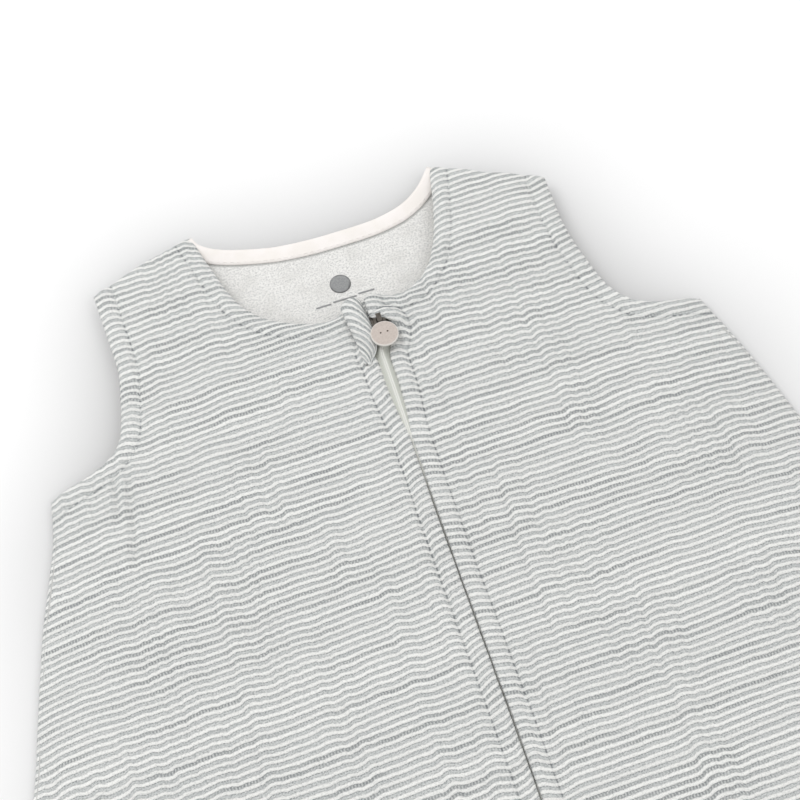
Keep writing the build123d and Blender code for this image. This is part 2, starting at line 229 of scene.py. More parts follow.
class Front:
    """One front of the bag: its outline, its shape in space and its stripes."""

    def __init__(self, side):
        self.side = side
        self.neck = curve(NECK[side])
        tip = np.array(ARMHOLE[side][0])
        start = np.array(NECK[side][0])
        t = np.linspace(0, 1, 40)[:, None]
        self.shoulder = start + (tip - start) * t
        self.shoulder[:, 1] += 0.9 * noise(self.shoulder[:, 0], 0, 9, 31) * np.sin(np.pi * t[:, 0])
        self.armhole = curve(ARMHOLE[side])
        self.edge = np.vstack([curve(SIDE[side]), corner(side)])
        self.hem = np.array([(side * (HALF - CORNER_R), HEM), (ZIP_X + side * zip_gap(HEM, side), HEM)])
        y = np.linspace(HEM, NECK[side][-1][1], 700)
        x = zip_x(y) + side * (zip_gap(y, side) + 0.12 * noise(y, side * 7.0, 9, 5))
        self.zip = np.stack([x, y], axis=1)
        self.neck = self.neck[(self.neck[:, 0] - self.zip[-1, 0]) * side > 0.4]
        self.neck = np.vstack([self.neck, self.zip[-1:]])
        self.zip[0, 0] = self.hem[-1, 0]
        self.closed_edge = np.vstack([self.edge, self.hem])
        self.coarse = {
            "neck": resample(self.neck, 2.0),
            "shoulder": self.shoulder,
            "armhole": resample(self.armhole, 2.0),
            "side": resample(self.closed_edge, 6.0),
            "zip": resample(self.zip, lambda p: 5.0 if p[1] < 300 else 1.5),
        }

    def loop(self):
        """The outline's samples in order, without repeats."""
        def step(p):
            return 1.5 if p[1] > FINE_LOW else COARSE
        parts = [self.neck[::-1], self.shoulder, self.armhole, self.edge, self.hem, self.zip]
        return np.vstack([resample(part, step)[:-1] for part in parts])

    def reaches(self, p):
        """Distances to the named edges."""
        return {name: distance(p, line) for name, line in self.coarse.items()}

    def shape(self, p, reach):
        """Height of the cloth's middle, half its thickness, and how deep in a stitched groove it is."""
        x, y = p[:, 0], p[:, 1]
        d = {name: pair[0] for name, pair in reach.items()}
        along = {name: pair[1] for name, pair in reach.items()}
        mid = 10.4 + 3.6 * np.exp(-(d["zip"] / 42.0) ** 2) - 2.0 * (x / HALF) ** 2
        mid += 1.0 * noise(x, y, 95, 11) + 0.5 * noise(x, y, 38, 12)
        mid = 2.3 + (mid - 2.3) * (1 - np.exp(-d["side"] / 15.0))
        mid -= np.maximum(mid - 8.2, 0) * np.exp(-d["shoulder"] / 9.0)
        # the right edge rides over the zip's top end, and the left one lies just under it
        over = smooth((y - SLIDER_HIGH[1] + 9.6) / 5.0) * smooth((15.0 - d["zip"]) / 12.0)
        mid += over * (4.4 if self.side > 0 else 0.4)
        mid -= np.maximum(mid - 4.4, 0) * 0.5 * np.exp(-d["armhole"] / 11.0)
        mid -= 1.4 * np.exp(-d["neck"] / 9.0) * smooth(np.abs(x - ZIP_X) / 26.0)
        crease, _ = crinkles(x, y)
        mid += crease * smooth(d["side"] / 8.0) * smooth((y - FINE_LOW + 60) / 60.0)
        mid += 0.22 * noise(x, y, 8, 14, stretch=2.2)
        mid += folds(self.side, x, y)
        # stitched bands: a puffed roll at the edge, then a groove that the stitches pull down
        puff, groove = np.zeros(len(p)), np.zeros(len(p))
        for name, width, seed in (("neck", BAND, 41), ("zip", BAND, 42), ("armhole", ARM_BAND, 43)):
            live = 1.0 if name != "zip" else smooth((y - SEWN_SHUT) / 30.0)
            swell = 1 + 0.35 * noise(along[name], seed, 4.5, seed)
            puff = np.maximum(puff, live * 0.62 * swell * np.clip(1 - (d[name] / width * 2 - 1) ** 2, 0, 1))
            pull = 1 + 0.6 * noise(along[name], seed, 3.2, seed + 5)
            groove = np.maximum(groove, live * pull * np.exp(-((d[name] - width) / 1.0) ** 2))
        mid += puff * 0.6 - groove * 0.55
        open_edge = np.minimum(np.minimum(d["neck"], d["zip"]), d["armhole"])
        any_edge = np.minimum(open_edge, np.minimum(d["side"], d["shoulder"]))
        half = FRONT_T / 2 + puff * 0.6
        round_over = np.sqrt(np.clip(1 - (1 - np.clip(any_edge / 1.3, 0, 1)) ** 2, 0, 1))
        # the signed distance from the nearest band's stitch line; the striped material paints the groove's
        # shade along it
        off = np.stack([np.where(y > 318, d["neck"], 99) - BAND, d["zip"] - BAND, d["armhole"] - ARM_BAND])
        off = np.take_along_axis(off, np.abs(off).argmin(0)[None], 0)[0]
        off = np.where(y < SEWN_SHUT, 9.0, off)
        return mid, half * round_over, np.clip(off, -5, 5)

    def stripes(self, p, reach):
        """The cloth's own coordinates, in stripes: across and along the pattern."""
        x, y = p[:, 0], p[:, 1]
        d = {name: pair[0] for name, pair in reach.items()}
        _, jog = crinkles(x, y)
        v = y - STRIPE_TILT * x + jog
        v = v + 0.50 * noise(x, y, 13, 21, stretch=2.0) + 0.60 * noise(x, y, 33, 22, stretch=1.4)
        v = v + 0.34 * noise(x, y, 6.5, 23, stretch=1.8)
        # in the zip's band the stripes climb towards the edge, and drop back at the seam
        inside_band = 2 * d["zip"] / BAND - 1
        past = np.exp(-np.maximum(d["zip"] - BAND, 0) / (6.0 if self.side > 0 else 1.6))
        hook = (1.25 if self.side > 0 else 1.6) * np.where(d["zip"] < BAND, inside_band, past)
        v = v + hook * smooth((y - SEWN_SHUT) / 30.0)
        v = v + 1.5 * np.clip(1 - d["neck"] / BAND, 0, 1) ** 2
        turn = np.clip(1 - d["armhole"] / ARM_BAND, 0, 1)
        if self.side > 0:
            v = v - 2.6 * turn ** 2 * smooth((y - 302.0) / 16.0)
        else:
            v = v - (5.0 * turn - 4.2 * turn ** 2) * smooth((y - 300.0) / 14.0)
        return x / STRIPE, v / STRIPE


def crinkles(x, y):
    """Fine lengthwise creases of the gauze: their depth, and how far the stripes jog at them."""
    depth, jog = np.zeros_like(x), np.zeros_like(x)
    wide = 240.0
    for k in range(int(2 * wide / CREASE_PITCH)):
        base = -wide + CREASE_PITCH * k + 3.5 * float(noise(k * 1.0, 0.0, 0.37, 61))
        near = np.flatnonzero(np.abs(x - base) < 20)
        if not len(near):
            continue
        xn, yn = x[near], y[near]
        line = base + 2.6 * noise(yn, k * 5.3, 55, 62) + 0.9 * noise(yn, k * 9.1, 15, 63)
        live = np.clip(0.40 + 1.5 * noise(yn, k * 11.7, 38, 64), 0, 1)
        off = xn - line
        way = 1.0 if noise(k * 1.0, 3.0, 0.51, 65) > 0 else -1.0
        depth[near] += live * (0.22 * np.exp(-((np.abs(off) - 2.6) / 1.6) ** 2)
                               - 0.40 * np.exp(-(off / 1.1) ** 2))
        jog[near] += live * way * CREASE_JOG * np.tanh(off / 1.1) * np.exp(-np.abs(off) / 5.0)
    return depth, jog


CREASES = {  # (x0, y0, x1, y1, depth, width): drag lines from the armpits and beside the zip
    -1: [(-120.8, 298.0, -124.5, 268.0, 1.5, 1.3), (-112.0, 309.0, -124.0, 234.0, 1.4, 1.5),
         (-159.3, 215.0, -160.3, 196.0, 0.5, 1.8), (-131.0, 292.0, -139.0, 252.0, 0.5, 2.2),
         (-101.0, 322.0, -104.0, 285.0, 0.35, 2.6)],
    1: [(27.5, 178.0, 27.0, 124.0, 0.6, 1.4), (117.0, 306.0, 122.0, 262.0, 0.5, 2.2),
        (131.0, 296.0, 141.0, 258.0, 0.45, 2.4), (38.0, 150.0, 37.0, 96.0, 0.35, 1.8)],
}


def folds(side, x, y):
    """The few deeper folds."""
    out = np.zeros_like(x)
    p = np.stack([x, y], axis=1)
    for x0, y0, x1, y1, depth, width in CREASES[side]:
        d, place = distance(p, np.array([(x0, y0), ((x0 + x1) / 2 + 0.8, (y0 + y1) / 2), (x1, y1)]))
        long = math.hypot(x1 - x0, y1 - y0)
        live = smooth(place / long * 4) * smooth((long - place) / long * 3)
        out += live * depth * (0.45 * np.exp(-((d - 1.9 * width) / width) ** 2)
                               - np.exp(-(d / width) ** 2))
    return out


# ---- meshes ----
APEX = np.array([ZIP_X, -318.5])
FOLD_REACH = 46.2  # distance of a fold line from the zip's line at the neck point
BEND = 9.0  # width of the strip of cloth that bends
BEND_AT, BEND_Z = 360.0, 14.0  # where along the fold line, and how high, its frame is taken


def bend_points(side):
    """Where the cloth starts to follow the flap, and where it follows it fully."""
    along = np.array([side * FOLD_REACH, TOP - APEX[1]])
    along /= np.linalg.norm(along)
    inward = np.array([along[1], -along[0]]) * -side
    start = APEX + along * BEND_AT
    end = start + inward * BEND
    return Vector((*start, BEND_Z)) * MM, Vector((*end, BEND_Z)) * MM


def in_fold(points, side):
    """Which points lie in the strip that bends when the flap opens, where the mesh is fine."""
    start, end = (np.array(q[:2]) / MM for q in bend_points(side))
    off = (points - start) @ (end - start) / BEND
    return (off > -5.0) & (off < BEND + 5.0)


def into_scene(name, data):
    obj = bpy.data.objects.new(name, data)
    bpy.context.scene.collection.objects.link(obj)
    return obj


def make(name, verts, faces, material, uv=None, masks=None):
    """A mesh object from millimetres, with the cloth's coordinates and any masks on it."""
    mesh = bpy.data.meshes.new(name)
    mesh.from_pydata((np.asarray(verts, float) * MM).tolist(), [], faces)
    mesh.polygons.foreach_set("use_smooth", [True] * len(mesh.polygons))
    if uv is not None:
        layer = mesh.uv_layers.new(name="cloth")
        corner_vertex = np.zeros(len(mesh.loops), int)
        mesh.loops.foreach_get("vertex_index", corner_vertex)
        layer.data.foreach_set("uv", np.asarray(uv, float)[corner_vertex].ravel())
    for key, values in (masks or {}).items():
        attribute = mesh.attributes.new(key, "FLOAT", "POINT")
        attribute.data.foreach_set("value", np.asarray(values, np.float32))
    mesh.materials.append(material)
    mesh.update()
    return into_scene(name, mesh)


def triangulate(loop, inner):
    """Triangles that fill a closed line, through the inner points as well."""
    count = len(loop)
    points = [Vector(p) for p in np.vstack([loop, inner])]
    edges = [(k, (k + 1) % count) for k in range(count)]
    verts, _, faces, origin, _, _ = delaunay_2d_cdt(points, edges, [], 1, 1e-4)
    flat = np.array([(v.x, v.y) for v in verts])
    rim = np.array([any(o < count for o in names) for names in origin])
    return flat, [tuple(f) for f in faces], rim


def staggered(low, high, step):
    """A grid from corner to corner, every other row moved by half a step."""
    xs, ys = np.meshgrid(np.arange(low[0], high[0], step), np.arange(low[1], high[1], step * 0.87))
    xs = xs + 0.5 * step * (np.arange(xs.shape[0])[:, None] % 2)
    return xs.ravel(), ys.ravel()


def mesh_points(loop, side):
    """Points inside a front's outline: rings that follow its edges, and a jittered grid."""
    ahead, behind = np.roll(loop, -1, axis=0), np.roll(loop, 1, axis=0)
    tangent = ahead - behind
    tangent = unit(tangent)
    area = 0.5 * np.sum(loop[:, 0] * ahead[:, 1] - ahead[:, 0] * loop[:, 1])
    inward = np.stack([-tangent[:, 1], tangent[:, 0]], axis=1) * (1 if area > 0 else -1)
    closed = np.vstack([loop, loop[:1]])
    found = []
    for k, offset in enumerate(RINGS):
        ring = (loop + inward * offset)[k % 2:]
        found.append(ring[distance(ring, closed)[0] > offset * 0.93])
    grids = []
    for step, low, high in ((FINE, FINE_LOW, TOP + 10), (COARSE, HEM, FINE_LOW), (FOLD_FINE, HEM, FINE_LOW)):
        xs, ys = staggered((-HALF, low), (HALF, high), step)
        xs = xs + 0.18 * step * noise(xs, ys, step * 0.7, 3)
        points = np.stack([xs, ys], axis=1)
        if low == HEM:
            points = points[in_fold(points, side) == (step < COARSE)]
        grids.append(points)
    grid = np.vstack(grids)
    grid = grid[inside(grid, closed)]
    grid = grid[distance(grid, closed)[0] > RINGS[-1] + 0.6 * FINE]
    return np.vstack(found + [grid])


def inside(points, closed):
    x, y = points[:, 0], points[:, 1]
    hit = np.zeros(len(points), bool)
    for (x0, y0), (x1, y1) in zip(closed, closed[1:]):
        if y0 == y1:
            continue
        crosses = (y0 > y) != (y1 > y)
        hit ^= crosses & (x < (x1 - x0) * (y - y0) / (y1 - y0) + x0)
    return hit


def slab(name, flat, faces, rim, mid, half, material, uv, masks=None):
    """A closed sheet: an upper and a lower skin that meet at the rim."""
    count = len(flat)
    lower = np.arange(count)
    inner = np.flatnonzero(~rim)
    lower[inner] = count + np.arange(len(inner))
    top = np.column_stack([flat, np.where(rim, mid, mid + half)])
    bottom = np.column_stack([flat, mid - half])[inner]
    skins = [tuple(f) for f in faces] + [tuple(int(lower[k]) for k in reversed(f)) for f in faces
                                         if not all(rim[k] for k in f)]
    both = np.concatenate([np.arange(count), inner])
    keep = {key: np.asarray(values)[both] for key, values in (masks or {}).items()}
    return make(name, np.vstack([top, bottom]), skins, material, np.asarray(uv)[both], keep)


# ---- materials ----
class Nodes:
    """Short names for building a material's nodes."""

    def __init__(self, name, rough=0.9, sheen=0.0, metal=0.0, coat=0.0):
        self.material = bpy.data.materials.new(name)
        self.material.use_nodes = True
        self.tree = self.material.node_tree
        self.tree.nodes.clear()
        self.shader = self.add("ShaderNodeBsdfPrincipled")
        self.shader.inputs["Roughness"].default_value = rough
        self.shader.inputs["Metallic"].default_value = metal
        self.shader.inputs["Sheen Weight"].default_value = sheen
        self.shader.inputs["Coat Weight"].default_value = coat
        output = self.add("ShaderNodeOutputMaterial")
        self.link(self.shader.outputs[0], output.inputs[0])

    def add(self, kind, **settings):
        node = self.tree.nodes.new(kind)
        for key, value in settings.items():
            setattr(node, key, value)
        return node

    def link(self, source, target):
        self.tree.links.new(source, target)

    def put(self, socket, value):
        if isinstance(value, bpy.types.NodeSocket):
            self.link(value, socket)
        else:
            socket.default_value = value

    def math(self, operation, *values):
        node = self.add("ShaderNodeMath", operation=operation)
        for socket, value in zip(node.inputs, values):
            self.put(socket, value)
        return node.outputs[0]

    def times(self, a, b):
        return self.math("MULTIPLY", a, b)

    def ramp(self, value, low, high, a=0.0, b=1.0):
        node = self.add("ShaderNodeMapRange", interpolation_type="SMOOTHSTEP")
        for socket, item in zip(node.inputs, (value, low, high, a, b)):
            self.put(socket, item)
        return node.outputs[0]

    def mix(self, factor, a, b, blend="MIX"):
        node = self.add("ShaderNodeMix", data_type="RGBA", blend_type=blend)
        self.put(node.inputs[0], factor)
        self.put(node.inputs[6], a if isinstance(a, bpy.types.NodeSocket) else (*a, 1))
        self.put(node.inputs[7], b if isinstance(b, bpy.types.NodeSocket) else (*b, 1))
        return node.outputs[2]

    def cloth(self):
        """The cloth's own coordinates, (across, along)."""
        uv = self.add("ShaderNodeUVMap", uv_map="cloth")
        split = self.add("ShaderNodeSeparateXYZ")
        self.link(uv.outputs[0], split.inputs[0])
        return split.outputs[0], split.outputs[1]

    def vector(self, x, y, z=0.0):
        node = self.add("ShaderNodeCombineXYZ")
        for socket, value in zip(node.inputs, (x, y, z)):
            self.put(socket, value)
        return node.outputs[0]

    def scaled(self, x, by_x, y, by_y):
        return self.vector(self.times(x, by_x), self.times(y, by_y))

    def near(self, value, low, high, a=1.0):
        return self.ramp(self.math("ABSOLUTE", value), low, high, a, 0.0)

    def beat(self, value, by):
        return self.math("PINGPONG", self.times(value, by), 0.5)

    def noise(self, where, scale, detail=2.0, rough=0.55):
        node = self.add("ShaderNodeTexNoise")
        self.link(where, node.inputs["Vector"])
        node.inputs["Scale"].default_value = scale
        node.inputs["Detail"].default_value = detail
        node.inputs["Roughness"].default_value = rough
        return node.outputs[0]

    def place(self):
        return self.add("ShaderNodeTexCoord").outputs["Object"]

    def random(self, value, seed):
        node = self.add("ShaderNodeTexWhiteNoise", noise_dimensions="2D")
        self.link(self.vector(value, seed), node.inputs["Vector"])
        return node.outputs[0]

    def mask(self, name):
        return self.add("ShaderNodeAttribute", attribute_name=name).outputs["Fac"]

    def colour(self, value):
        self.put(self.shader.inputs["Base Color"], value)

    def bump(self, height, distance, strength=1.0):
        node = self.add("ShaderNodeBump")
        node.inputs["Strength"].default_value = strength
        node.inputs["Distance"].default_value = distance
        self.link(height, node.inputs["Height"])
        self.link(node.outputs[0], self.shader.inputs["Normal"])


def tone(r, g, b):
    """A screen colour, 0 to 255, as linear light."""
    return tuple((c / 255 / 12.92) if c <= 10 else ((c / 255 + 0.055) / 1.055) ** 2.4 for c in (r, g, b))


def striped_muslin():
    """White puffed cords and grey bands of double gauze, with ticked rows in the weave."""
    m = Nodes("striped_muslin", rough=0.92, sheen=0.12)
    u, v = m.cloth()
    where = m.vector(u, v)
    ragged = m.math("MULTIPLY_ADD", m.noise(where, 2.3, 4.0, 0.7), 0.34, -0.17)
    line = m.math("ADD", v, ragged)
    row = m.math("FLOOR", line)
    part = m.math("FRACT", line)
    off = m.math("PINGPONG", m.math("SUBTRACT", line, 0.24), 0.5)
    white = m.ramp(off, 0.20, 0.285, 1.0, 0.0)
    # threads that run along the stripes, and the open weave between them
    fibre = m.noise(m.scaled(u, 2.4, v, 9.0), 1.0, 3.0, 0.7)
    speck = m.noise(m.scaled(u, 3.6, v, 5.2), 1.0, 1.0, 0.6)
    patch = m.noise(m.scaled(u, 0.11, v, 0.5), 1.0, 2.0)
    grey = m.mix(m.random(row, 4.7), tone(182, 185, 185), tone(199, 201, 200))
    grey = m.mix(m.ramp(patch, 0.35, 0.7), grey, tone(193, 196, 195))
    pale = m.mix(m.random(row, 9.1), tone(234, 234, 231), tone(243, 243, 240))
    base = m.mix(white, grey, pale)
    dusty = m.times(m.ramp(speck, 0.50, 0.62), m.math("MULTIPLY_ADD", white, -0.40, 0.62))
    base = m.mix(dusty, base, tone(136, 140, 141))
    base = m.mix(m.ramp(fibre, 0.50, 0.66, 0.0, 0.6), base, tone(240, 240, 237))
    # painted shade: a faint dark line, broken into dashes by the weave, along the top edge of every grey
    # band, just under the raised white cord
    dash = m.ramp(m.beat(u, 2.6), 0.10, 0.30)
    rim = m.near(m.math("SUBTRACT", part, 0.93), 0.03, 0.10)
    fade = m.ramp(m.noise(m.vector(m.times(u, 0.16), row), 1.0, 2.0), 0.34, 0.60, 0.25, 1.0)
    base = m.mix(m.times(m.times(dash, rim), m.times(fade, 0.6)), base, tone(112, 117, 120))
    # about half the rows are ticked with darker thread, in lengths that fade in and out
    ticked = m.math("GREATER_THAN", m.random(row, 2.3), 0.44)
    tick = m.ramp(m.beat(u, STRIPE / 1.35), 0.17, 0.30)
    middle = m.near(m.math("SUBTRACT", off, 0.44), 0.07, 0.15)
    gone = m.ramp(m.noise(m.vector(m.times(u, 0.07), m.math("ADD", row, 40.0)), 1.0, 1.0), 0.40, 0.58)
    dark = m.times(m.times(ticked, tick), m.times(middle, gone))
    base = m.mix(m.times(dark, 0.56), base, tone(112, 117, 119))
    # painted shade in the groove that the stitches pull down along a stitched band, which shows mostly on the
    # grey bands
    groove_shade = m.near(m.mask("seam"), 0.12, 0.62)
    groove_shade = m.times(groove_shade, m.ramp(m.noise(where, 1.1, 2.0), 0.36, 0.56, 0.25, 1.0))
    groove_shade = m.times(groove_shade, m.math("MULTIPLY_ADD", white, -0.62, 0.80))
    base = m.mix(groove_shade, base, tone(102, 107, 110))
    m.colour(base)
    cord = m.math("SQRT", m.ramp(off, 0.02, 0.30, 1.0, 0.0))
    height = m.math("MULTIPLY_ADD", fibre, 0.35, m.times(cord, 0.9))
    height = m.math("MULTIPLY_ADD", speck, 0.25, height)
    height = m.math("MULTIPLY_ADD", dark, -0.3, height)
    m.bump(height, 0.0006, 0.85)
    return m.material


def lining_muslin():
    """Plain pale gauze: fine checks of thread, with faint broken lines."""
    m = Nodes("lining_muslin", rough=0.93, sheen=0.10)
    u, v = m.cloth()
    where = m.vector(u, v)
    row = m.math("FLOOR", m.times(v, 0.45))
    speck = m.noise(m.scaled(u, 3.4, v, 4.2), 1.0, 2.0, 0.7)
    long = m.noise(m.scaled(u, 0.25, v, 3.0), 1.0, 2.0)
    broad = m.noise(where, 0.28, 3.0)
    base = m.mix(m.ramp(speck, 0.42, 0.64), tone(246, 245, 242), tone(208, 208, 206))
    base = m.mix(m.ramp(long, 0.45, 0.62, 0.0, 0.4), base, tone(228, 227, 224))
    base = m.mix(m.ramp(broad, 0.45, 0.70, 0.0, 0.35), base, tone(214, 213, 209))
    near = m.ramp(m.beat(v, 0.45), 0.0, 0.05, 1.0, 0.0)
    dash = m.ramp(m.beat(u, 2.9), 0.22, 0.36)
    fade = m.ramp(m.noise(m.vector(m.times(u, 0.2), row), 1.0, 1.0), 0.42, 0.58)
    base = m.mix(m.times(m.times(near, dash), m.times(fade, 0.5)), base, tone(150, 152, 152))
    # painted shadow: a thin dark line on the lining along the neck tape's lower edge
    tape_edge_shadow = m.near(m.mask("seam"), 0.2, 1.0, 0.55)
    base = m.mix(tape_edge_shadow, base, tone(160, 161, 159))
    m.colour(base)
    warp = m.math("SINE", m.times(u, 44.0))
    weft = m.math("SINE", m.times(v, 40.0))
    m.bump(m.math("MULTIPLY_ADD", m.times(warp, weft), 0.15, speck), 0.0004, 0.6)
    return m.material


def cream_tape():
    m = Nodes("cream_tape", rough=0.75, sheen=0.15)
    where = m.place()
    fine = m.noise(where, 2600.0, 2.0)
    broad = m.noise(where, 90.0, 2.0)
    base = m.mix(m.ramp(broad, 0.35, 0.65), tone(248, 243, 240), tone(243, 238, 233))
    base = m.mix(m.ramp(fine, 0.5, 0.75, 0.0, 0.25), base, tone(232, 225, 219))
    m.colour(base)
    m.bump(m.math("MULTIPLY_ADD", broad, 2.0, fine), 0.00012, 0.5)
    return m.material


def woven_tape(name, light, dark, rough=0.62):
    """Close herringbone tape, for the zip, with a painted highlight along the inner edge where the two tapes
    meet.
    """
    m = Nodes(name, rough=rough, sheen=0.12)
    where = m.place()
    split = m.add("ShaderNodeSeparateXYZ")
    m.link(where, split.inputs[0])
    across = m.math("PINGPONG", m.times(split.outputs[0], 900.0), 1.0)
    slope = m.math("ADD", m.times(split.outputs[1], 5200.0), m.times(across, 2.6))
    rib = m.math("MULTIPLY_ADD", m.math("SINE", slope), 0.5, 0.5)
    grain = m.noise(where, 2400.0, 2.0)
    base = m.mix(m.ramp(rib, 0.15, 0.85, 0.0, 0.25), light, dark)
    base = m.mix(m.ramp(grain, 0.5, 0.8, 0.0, 0.3), base, dark)
    # painted highlight on the ridge along the tape's inner edge
    _, out = m.cloth()
    ridge_highlight = m.near(out, 0.08, 0.30)
    base = m.mix(m.times(ridge_highlight, 0.75), base, tone(240, 240, 235))
    m.colour(base)
    m.bump(m.math("MULTIPLY_ADD", grain, 0.5, rib), 0.00012, 0.5)
    return m.material


def plain(name, light, dark, rough=0.5, metal=0.0, coat=0.0, scale=700.0, bump=0.00005):
    """Moulded plastic, metal or thread: a base colour with fine mottling and a brushed surface."""
    m = Nodes(name, rough=rough, metal=metal, coat=coat)
    where = m.place()
    grain = m.noise(where, scale, 3.0, 0.6)
    wear = m.noise(where, scale / 6, 2.0)
    base = m.mix(m.ramp(grain, 0.35, 0.7), light, dark)
    base = m.mix(m.ramp(wear, 0.55, 0.8, 0.0, 0.4), base, dark)
    m.colour(base)
    m.link(m.ramp(wear, 0.3, 0.8, rough * 0.85, min(1.0, rough * 1.2)), m.shader.inputs["Roughness"])
    m.bump(grain, bump, 0.5)
    return m.material


def pull_enamel():
    """Matt rose-taupe enamel with the bare metal showing round the rim."""
    m = Nodes("pull_enamel", rough=0.45, coat=0.15)
    where = m.place()
    middle = Vector(((DISC_LOW[0] + DISC_HIGH[0]) / 2 * MM, (DISC_LOW[1] + DISC_HIGH[1]) / 2 * MM, 0))
    flat = m.add("ShaderNodeVectorMath", operation="MULTIPLY")
    m.link(where, flat.inputs[0])
    flat.inputs[1].default_value = (1, 1, 0)
    away = m.add("ShaderNodeVectorMath", operation="DISTANCE")
    m.link(flat.outputs[0], away.inputs[0])
    away.inputs[1].default_value = middle
    radius = (DISC_HIGH[0] - DISC_LOW[0]) / 2 * MM
    rim = m.ramp(away.outputs["Value"], radius * 0.93, radius * 0.97)
    grain = m.noise(where, 1500.0, 3.0)
    base = m.mix(m.ramp(grain, 0.3, 0.75), tone(200, 189, 181), tone(186, 175, 167))
    base = m.mix(rim, base, tone(226, 222, 216))
    m.colour(base)
    m.bump(grain, 0.00004, 0.5)
    return m.material


def floor_material():
    m = Nodes("floor", rough=0.95)
    grain = m.noise(m.place(), 6.0, 2.0)
    base = m.mix(m.ramp(grain, 0.3, 0.7), tone(250, 250, 250), tone(251, 251, 251))
    base = m.mix(m.mask("shade"), base, tone(168, 168, 168))
    m.colour(base)
    return m.material


STRIPED = striped_muslin()
LINING = lining_muslin()
CREAM = cream_tape()
ZIP_TAPE = woven_tape("zip_tape", tone(200, 202, 194), tone(176, 178, 169), rough=0.40)
ZIP_COIL = plain("zip_coil", tone(226, 226, 220), tone(202, 203, 197), rough=0.35)
THREAD = plain("thread", tone(238, 239, 237), tone(206, 209, 209), rough=0.8, scale=2500.0)
PRINT = plain("print_ink", tone(140, 141, 142), tone(158, 159, 159), rough=0.9, scale=1600.0)
# the dark gunmetal tone is partly the metal's own colour and partly painted shade, so that the slider reads
# as the shaded gap under the garage
METAL = plain("slider_metal", tone(112, 107, 101), tone(90, 86, 81), rough=0.34, metal=1.0)
ENAMEL = pull_enamel()

# ---- the fronts, with a fine mesh in the strips along the fold lines ----
def flap_blend(obj, side):
    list(bend_points(side))
    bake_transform(obj)


SIDES = {-1: "left", 1: "right"}
fronts, front_meshes, pieces = {}, {}, {}


def outline_area(loop):
    nxt = np.roll(loop, -1, axis=0)
    return abs(0.5 * np.sum(loop[:, 0] * nxt[:, 1] - nxt[:, 0] * loop[:, 1])) * MM * MM


for side, word in SIDES.items():
    front = Front(side)
    fronts[side] = front
    loop = front.loop()
    flat, faces, rim = triangulate(loop, mesh_points(loop, side))
    reach = front.reaches(flat)
    mid, half, groove = front.shape(flat, reach)
    uv = np.stack(front.stripes(flat, reach), axis=1)
    front_meshes[side] = (loop,)
    obj = slab(f"{word}_front_cloth", flat, faces, rim, mid, half, STRIPED, uv, {"seam": groove})
    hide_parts(f"{word}_front_shell", f"{word}_flap_shell")
    pieces[f"{word}_front_cloth"] = obj


def under_front(front, p, depth):
    """Height of a layer that lies that far under the front cloth."""
    mid, _, _ = front.shape(p, front.reaches(p))
    return mid - FRONT_T / 2 - 0.35 - depth


def inset(line, amount, flip=1.0):
    """A line moved sideways, to the left of its direction, or to the right with flip -1."""
    tangent = np.gradient(line, axis=0)
    tangent /= np.maximum(np.linalg.norm(tangent, axis=1)[:, None], 1e-9)
    return line + np.stack([-tangent[:, 1], tangent[:, 0]], axis=1) * amount * flip


def grid_points(closed, step, clear=2.4):
    grid = np.stack(staggered(closed.min(0), closed.max(0), step), axis=1)
    grid = grid[inside(grid, closed)]
    return grid[distance(grid, closed)[0] > clear]


def laid_uv(flat, shift=0.0):
    """The cloth's own coordinates of a piece that lies flat, in stripes."""
    return np.stack([flat[:, 0], flat[:, 1] - STRIPE_TILT * flat[:, 0] + shift], axis=1) / STRIPE


LINING_BESIDE_ZIP = 9.6  # the inner layer stops this far from the zip's line
for side, word in SIDES.items():
    front = fronts[side]
    # insets along the edges, so that the plain inner layer stops inside the striped one
    zip_line = np.array([(ZIP_X + side * (LINING_BESIDE_ZIP if y > SEWN_SHUT else 0.4), y)
                         for y in np.linspace(HEM + 6, front.zip[-1][1] - 2.0, 220)])
    turn = -side
    neck = inset(resample(front.neck[::-1], 4.0), 2.0, turn)
    neck = neck[(neck[:, 0] - ZIP_X) * side > LINING_BESIDE_ZIP + 1.0]
    shoulder = inset(resample(front.shoulder, 4.0), 3.5, turn)[1:-1]
    armhole = inset(resample(front.armhole, 4.0), 2.0, turn)[1:-1]
    edge = inset(resample(front.edge, 5.0), 5.0, turn)[1:]
    hem = np.array([(side * (HALF - CORNER_R), HEM + 5.0), (side * 60.0, HEM + 5.0)])
    loop = np.vstack([neck, shoulder, armhole, edge, resample(hem, 5.0), resample(zip_line, 5.0)])
    closed = np.vstack([loop, loop[:1]])
    wide_grid, fine_grid = grid_points(closed, 4.2), grid_points(closed, FOLD_FINE)
    flat, faces, rim = triangulate(loop, np.vstack([wide_grid[~in_fold(wide_grid, side)],
                                                    fine_grid[in_fold(fine_grid, side)]]))
    mid = under_front(front, flat, 0.15 + INNER_T / 2)
    half = np.full(len(flat), INNER_T / 2)
    obj = slab(f"{word}_front_inner", flat, faces, rim, mid, half, LINING, laid_uv(flat),
               {"seam": np.full(len(flat), 5.0)})
    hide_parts(f"{word}_front_lining", f"{word}_flap_lining", f"{word}_front_neck_tape")
    pieces[f"{word}_front_inner"] = obj
    front_meshes[(side, "inner")] = outline_area(loop)

# ---- the back ----
BACK_NECK = curve([(-58.8, 403.2), (-55.6, 397.2), (-46.0, 392.0), (-27.0, 387.2), (-10.2, 385.0),
                   (7.6, 384.8), (25.4, 385.8), (38.0, 388.8), (48.0, 394.6), (57.3, 404.6)])
BACK_T = 1.1


